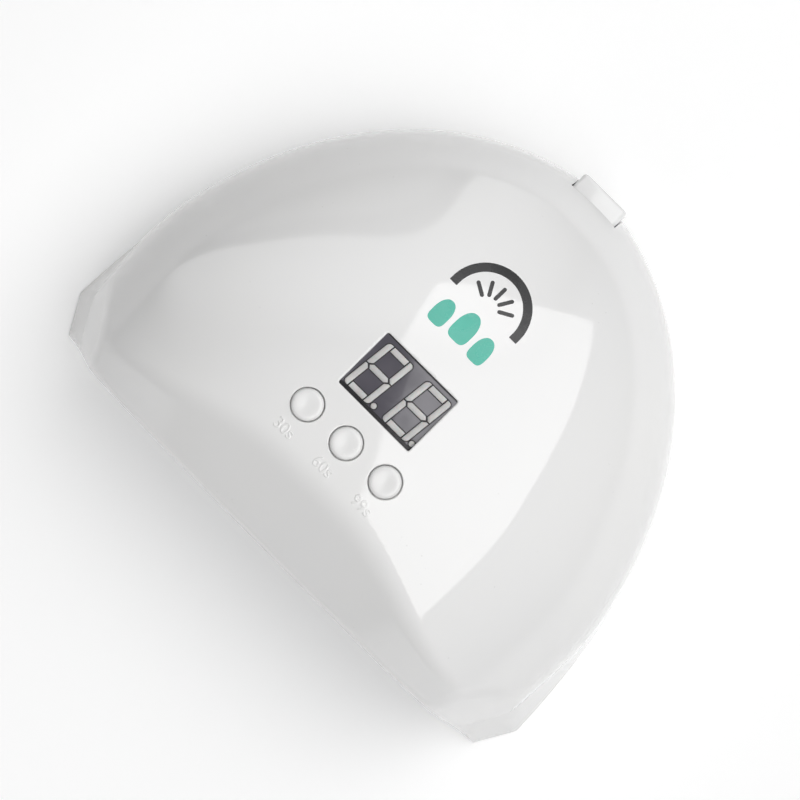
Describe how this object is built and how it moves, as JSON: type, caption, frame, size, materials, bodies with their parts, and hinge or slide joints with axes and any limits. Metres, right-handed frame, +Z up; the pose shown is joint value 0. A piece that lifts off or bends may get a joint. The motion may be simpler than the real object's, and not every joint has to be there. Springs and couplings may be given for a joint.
{
  "type": "uv led nail lamp",
  "caption": "Domed table-top nail curing lamp: hand opening in front, mirrored faceted inside with LEDs, digital display and round timer buttons on top, DC socket at the back.",
  "frame": {"origin": "centre of the footprint, on the surface the rubber feet stand on", "axes": "+Z up; -Y out of the hand opening; +Y towards the DC socket; +X to the right seen from the opening, the widest direction"},
  "size_m": [0.1622, 0.124, 0.0667],
  "materials": {
    "shell_white": "high gloss moulded ABS",
    "cap_white": "semi gloss moulded ABS",
    "reflector_mirror": "vacuum metallised",
    "base_white": "fine spark-eroded texture",
    "foot_rubber": "matte",
    "screw_steel": "zinc plated",
    "display_dark": "gloss face, light segments",
    "board_green": "solder mask",
    "board_white": "white solder mask",
    "black_plastic": "satin",
    "pin_brass": "polished",
    "led_lens": "clear epoxy",
    "capacitor_blue": "sleeve",
    "connector_cream": "nylon",
    "lead_red": "PVC insulation",
    "lead_black": "PVC insulation"
  },
  "bodies": {
    "housing": {"outer_shell": "shell_white", "socket_collar": "shell_white", "inner_reflector": "reflector_mirror", "floor_reflector": "reflector_mirror", "base_plate": "base_white", "rubber_foot_front_left": "foot_rubber", "rubber_foot_front_right": "foot_rubber", "rubber_foot_back_left": "foot_rubber", "rubber_foot_back_right": "foot_rubber", "base_screw_front_left": "screw_steel", "base_screw_front_right": "screw_steel", "base_screw_back_left": "screw_steel", "base_screw_back_right": "screw_steel", "board_screw_left": "screw_steel", "board_screw_right": "screw_steel", "reflector_screw_left": "screw_steel", "reflector_screw_right": "screw_steel", "display_module": "display_dark", "control_board": "board_green", "controller_chip": "black_plastic", "lead_connector": "connector_cream", "capacitor_1": "capacitor_blue", "capacitor_2": "capacitor_blue", "switch_body_30": "screw_steel", "switch_body_60": "screw_steel", "switch_body_99": "screw_steel", "hand_sensor": "black_plastic", "dc_jack": "black_plastic", "jack_pin": "pin_brass", "led_board_top": "board_white", "led_board_left": "board_white", "led_board_right": "board_white", "led_board_back": "board_white", "uv_led_01": "led_lens", "uv_led_02": "led_lens", "uv_led_03": "led_lens", "uv_led_04": "led_lens", "uv_led_05": "led_lens", "uv_led_06": "led_lens", "uv_led_07": "led_lens", "uv_led_08": "led_lens", "uv_led_09": "led_lens", "uv_led_10": "led_lens", "uv_led_11": "led_lens", "uv_led_12": "led_lens", "lead_left": "lead_red", "lead_right": "lead_red", "lead_top": "lead_red", "lead_back": "lead_red", "lead_power": "lead_black"},
    "button_30": {"button_cap_30": "cap_white", "switch_plunger_30": "black_plastic"},
    "button_60": {"button_cap_60": "cap_white", "switch_plunger_60": "black_plastic"},
    "button_99": {"button_cap_99": "cap_white", "switch_plunger_99": "black_plastic"}
  },
  "joints": [
    {"name": "button_30_press", "type": "slide", "parent": "housing", "child": "button_30", "axis": [0, -0.0435, -0.9991], "range_m": [0, 0.0006], "stiffness_N_per_m": 2500},
    {"name": "button_60_press", "type": "slide", "parent": "housing", "child": "button_60", "axis": [0, -0.0435, -0.9991], "range_m": [0, 0.0006], "stiffness_N_per_m": 2500},
    {"name": "button_99_press", "type": "slide", "parent": "housing", "child": "button_99", "axis": [0, -0.0435, -0.9991], "range_m": [0, 0.0006], "stiffness_N_per_m": 2500}
  ]
}
